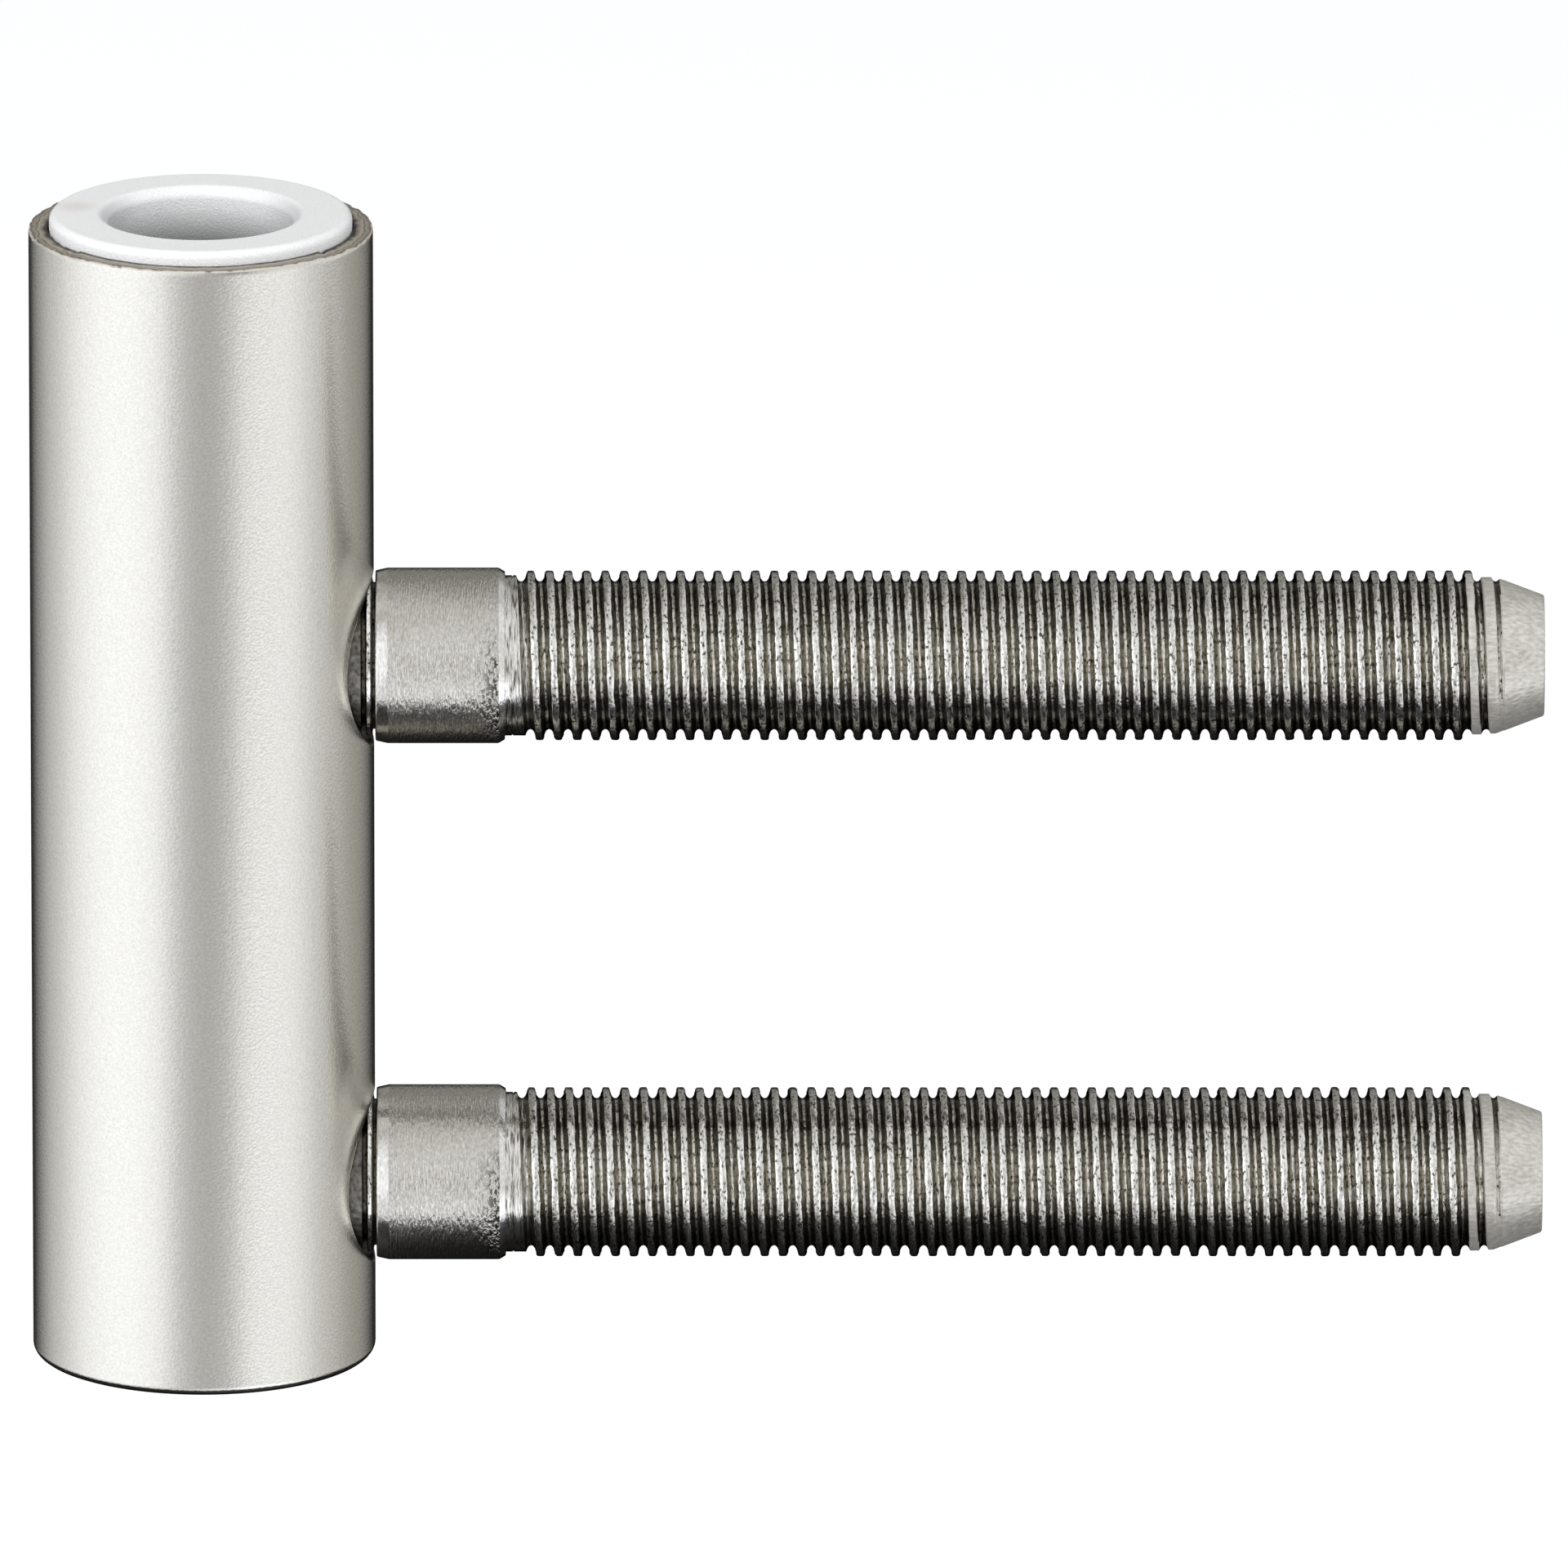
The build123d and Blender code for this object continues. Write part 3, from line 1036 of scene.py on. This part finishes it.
bpy.ops.object.select_all(action="DESELECT")
bpy.ops.mesh.primitive_plane_add(size=floor_size, location=(floor_middle, 0, cad_box[0][2] - floor_gap))
floor = bpy.context.object
floor.name = "floor"
floor.visible_glossy = False
floor_paper = plain_material("floor paper", roughness=1.0, metallic=0.0)
nodes, links = floor_paper.node_tree.nodes, floor_paper.node_tree.links
paper = nodes["Principled BSDF"]
paper.inputs["Base Color"].default_value = paper_colour
paper.inputs["Specular IOR Level"].default_value = 0.0
paper.inputs["Emission Color"].default_value = glow_colour
rays = nodes.new("ShaderNodeLightPath")
glow_level = nodes.new("ShaderNodeMath")
glow_level.operation = "MULTIPLY"
glow_level.inputs[1].default_value = floor_glow
links.new(rays.outputs["Is Camera Ray"], glow_level.inputs[0])
links.new(glow_level.outputs[0], paper.inputs["Emission Strength"])
side = nodes.new("ShaderNodeNewGeometry")
clear = nodes.new("ShaderNodeBsdfTransparent")
seen = nodes.new("ShaderNodeMixShader")
links.new(side.outputs["Backfacing"], seen.inputs["Fac"])
links.new(paper.outputs["BSDF"], seen.inputs[1])
links.new(clear.outputs["BSDF"], seen.inputs[2])
links.new(seen.outputs["Shader"], nodes["Material Output"].inputs["Surface"])
floor.data.materials.append(floor_paper)


# Studio light: a grey room with wide soft panels to the left and right, whose light fades out slowly
# at their edges and is reflected by the metal. Black cloths behind and below darken its edges, and
# the camera sees plain white instead. A key panel in front and above lights the plastic and the floor.

room_level = 0.43
room_colour = (1.0, 0.985, 0.945, 1.0)
panel_colour = (0.93, 0.98, 1.08, 1.0)
studio = bpy.context.scene.world or bpy.data.worlds.new("studio")
bpy.context.scene.world = studio
studio.use_nodes = True
nodes, links = studio.node_tree.nodes, studio.node_tree.links
nodes.clear()
direction = nodes.new("ShaderNodeTexCoord")


def soft_area(azimuth, height, strength, edge, middle):
    """The strength of a round soft area, none where the cosine to its middle is under edge.

    The azimuth turns to the right from the camera's side, and both angles are in degrees."""
    turn, rise = math.radians(azimuth), math.radians(height)
    towards = (math.sin(turn) * math.cos(rise), -math.cos(turn) * math.cos(rise), math.sin(rise))
    nearness = nodes.new("ShaderNodeVectorMath")
    nearness.operation = "DOT_PRODUCT"
    nearness.inputs[1].default_value = towards
    links.new(direction.outputs["Generated"], nearness.inputs[0])
    return fade(studio.node_tree, nearness.outputs["Value"], edge, middle, strength)


def combine(operation, first, second):
    """A maths node on two values, each a number or another node's output."""
    node = nodes.new("ShaderNodeMath")
    node.operation = operation
    feed(studio.node_tree, node.inputs[0], first)
    feed(studio.node_tree, node.inputs[1], second)
    return node.outputs[0]


left_panel = soft_area(azimuth=-56.8, height=0.0, strength=1.33, edge=0.13, middle=1.33)
right_panel = soft_area(azimuth=41.4, height=-50.4, strength=1.60, edge=0.63, middle=1.03)
upper_right_panel = soft_area(azimuth=82.4, height=37.1, strength=0.51, edge=0.45, middle=0.69)
back_left_panel = soft_area(azimuth=-141.0, height=-12.0, strength=0.11, edge=0.86, middle=0.97)
cloth_below = soft_area(azimuth=180.0, height=-71.5, strength=0.97, edge=0.475, middle=0.57)
cloth_above_back = soft_area(azimuth=180.0, height=29.4, strength=0.31, edge=0.32, middle=0.67)
cloth_in_front = soft_area(azimuth=0.0, height=-30.0, strength=0.34, edge=0.86, middle=0.98)
cloth_behind = soft_area(azimuth=180.0, height=-14.0, strength=1.0, edge=0.87, middle=0.94)
panels = left_panel
for panel in (right_panel, upper_right_panel, back_left_panel):
    panels = combine("ADD", panels, panel)
open_share = 1.0
for cloth in (cloth_below, cloth_above_back, cloth_in_front, cloth_behind):
    open_share = combine("MULTIPLY", open_share, combine("SUBTRACT", 1.0, cloth))
room = nodes.new("ShaderNodeBackground")
room.inputs["Color"].default_value = room_colour
links.new(combine("MULTIPLY", open_share, room_level), room.inputs["Strength"])
lit_panels = nodes.new("ShaderNodeBackground")
lit_panels.inputs["Color"].default_value = panel_colour
links.new(combine("MULTIPLY", open_share, panels), lit_panels.inputs["Strength"])
light = nodes.new("ShaderNodeAddShader")
links.new(room.outputs["Background"], light.inputs[0])
links.new(lit_panels.outputs["Background"], light.inputs[1])
white = nodes.new("ShaderNodeBackground")
white.inputs["Color"].default_value = (1.0, 1.0, 1.0, 1.0)
rays = nodes.new("ShaderNodeLightPath")
seen = nodes.new("ShaderNodeMixShader")
links.new(rays.outputs["Is Camera Ray"], seen.inputs["Fac"])
links.new(light.outputs["Shader"], seen.inputs[1])
links.new(white.outputs["Background"], seen.inputs[2])
output = nodes.new("ShaderNodeOutputWorld")
links.new(seen.outputs["Shader"], output.inputs["Surface"])

key_size = 0.6
key_distance = 0.7
key_power = 2.4
key_height = math.radians(50.0)
key_turn = math.radians(-20.0)
bpy.ops.object.light_add(
    type="AREA",
    location=(
        key_distance * math.sin(key_turn) * math.cos(key_height),
        -key_distance * math.cos(key_turn) * math.cos(key_height),
        key_distance * math.sin(key_height),
    ),
    rotation=(math.pi / 2 - key_height, 0.0, key_turn),
)
key_panel = bpy.context.object
key_panel.name = "key_panel"
key_panel.data.size = key_size
key_panel.data.energy = key_power
key_panel.visible_glossy = False


# Camera: a long lens that looks along +Y and down a little, as in the photograph. It has no shift and
# no depth of field, so that the other views hold too.

camera_pitch = math.radians(16.1)
camera_distance = 2.5
camera_aim = Vector((0.03046, 0.0, -0.03036))
camera_lens = 1095.6
camera_sensor = 36.0
camera_reach = 20.0

camera_back = Vector((0.0, -math.cos(camera_pitch), math.sin(camera_pitch)))
bpy.ops.object.camera_add(
    location=camera_aim + camera_back * camera_distance,
    rotation=(math.pi / 2 - camera_pitch, 0.0, 0.0),
)
camera = bpy.context.object
camera.data.lens = camera_lens
camera.data.sensor_width = camera_sensor
camera.data.clip_end = camera_reach
bpy.context.scene.camera = camera
bpy.context.scene.view_settings.view_transform = "Standard"
